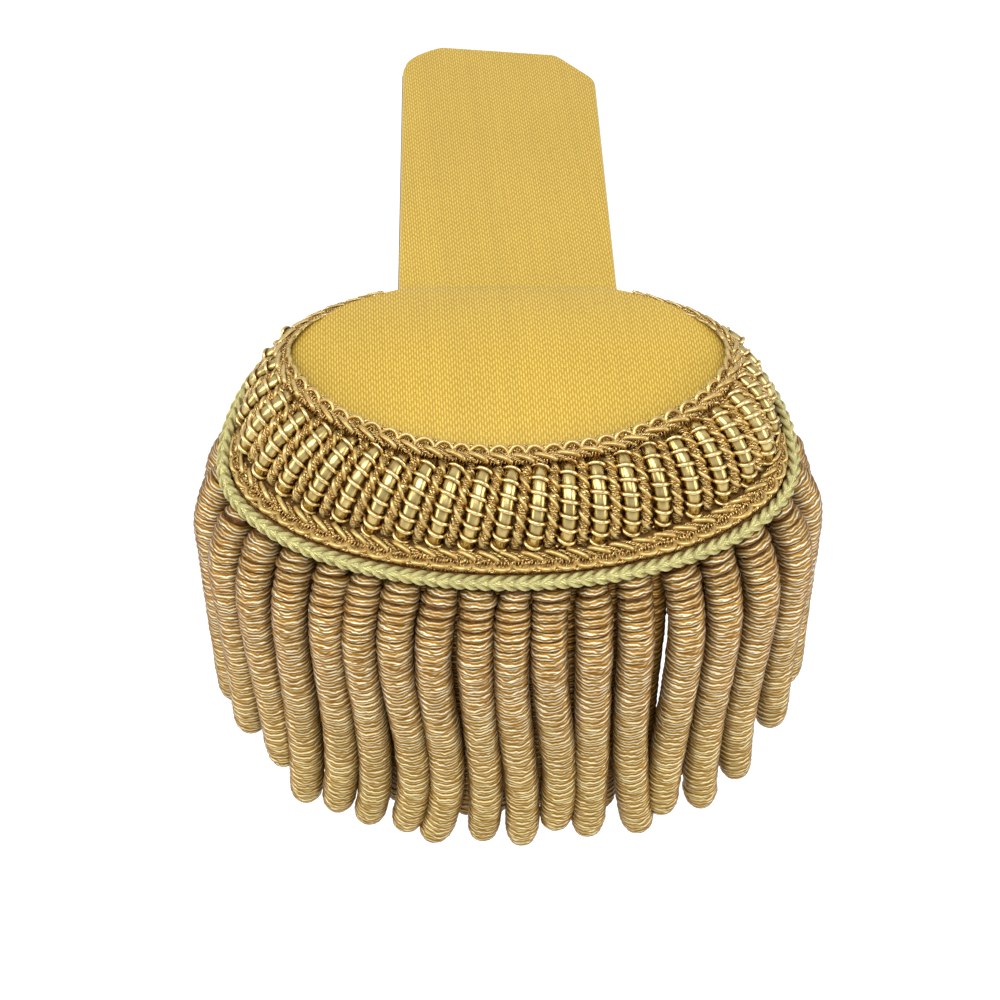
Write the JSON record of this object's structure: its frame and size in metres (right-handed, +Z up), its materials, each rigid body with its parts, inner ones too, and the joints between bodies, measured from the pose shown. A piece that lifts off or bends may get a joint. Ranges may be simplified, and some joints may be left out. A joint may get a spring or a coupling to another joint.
{
  "type": "bullion shoulder board",
  "caption": "Gold dress epaulette: cloth strap widening into a padded oval field, ringed by a ribbed bullion roll, braids and a plaited cord, with a hanging bullion fringe.",
  "frame": {"origin": "on the flat underside, on the middle line, where the strap meets the crescent", "axes": "+Z up from the shoulder, +Y along the strap towards the collar, -Y towards the fringe at the shoulder's point, +X to the right seen from above with the strap at the far side"},
  "size_m": [0.1524, 0.1926, 0.1246],
  "materials": {
    "cloth_gold": "gold twill weave, soft sheen",
    "felt_dark": "matt felt",
    "pad_dark": "matt",
    "rib_metal": "smooth gilt purl wound with wire",
    "twist_metal": "bright and rough bullion twist",
    "gimp_metal": "looped gilt gimp",
    "cord_braid": "plaited metallic thread",
    "coil_copper": "dark coiled wire",
    "fringe_bullion": "coiled metallic thread"
  },
  "bodies": {
    "root": {"strap": "cloth_gold", "lining": "felt_dark", "roll_pad": "pad_dark", "thin_twists": "twist_metal", "upper_gimp": "gimp_metal", "lower_gimp": "gimp_metal", "edge_cord": "cord_braid", "edge_coil": "coil_copper", "rib_01": "rib_metal", "rib_02": "rib_metal", "rib_03": "rib_metal", "rib_04": "rib_metal", "rib_05": "rib_metal", "rib_06": "rib_metal", "rib_07": "rib_metal", "rib_08": "rib_metal", "rib_09": "rib_metal", "rib_10": "rib_metal", "rib_11": "rib_metal", "rib_12": "rib_metal", "rib_13": "rib_metal", "rib_14": "rib_metal", "rib_15": "rib_metal", "rib_16": "rib_metal", "rib_17": "rib_metal", "rib_18": "rib_metal", "rib_19": "rib_metal", "rib_20": "rib_metal", "rib_21": "rib_metal", "rib_22": "rib_metal", "rib_23": "rib_metal", "rib_24": "rib_metal", "rib_25": "rib_metal", "rib_26": "rib_metal", "rib_27": "rib_metal", "fringe_01": "fringe_bullion", "fringe_02": "fringe_bullion", "fringe_03": "fringe_bullion", "fringe_04": "fringe_bullion", "fringe_05": "fringe_bullion", "fringe_06": "fringe_bullion", "fringe_07": "fringe_bullion", "fringe_08": "fringe_bullion", "fringe_09": "fringe_bullion", "fringe_10": "fringe_bullion", "fringe_11": "fringe_bullion", "fringe_12": "fringe_bullion", "fringe_13": "fringe_bullion"}
  },
  "joints": []
}
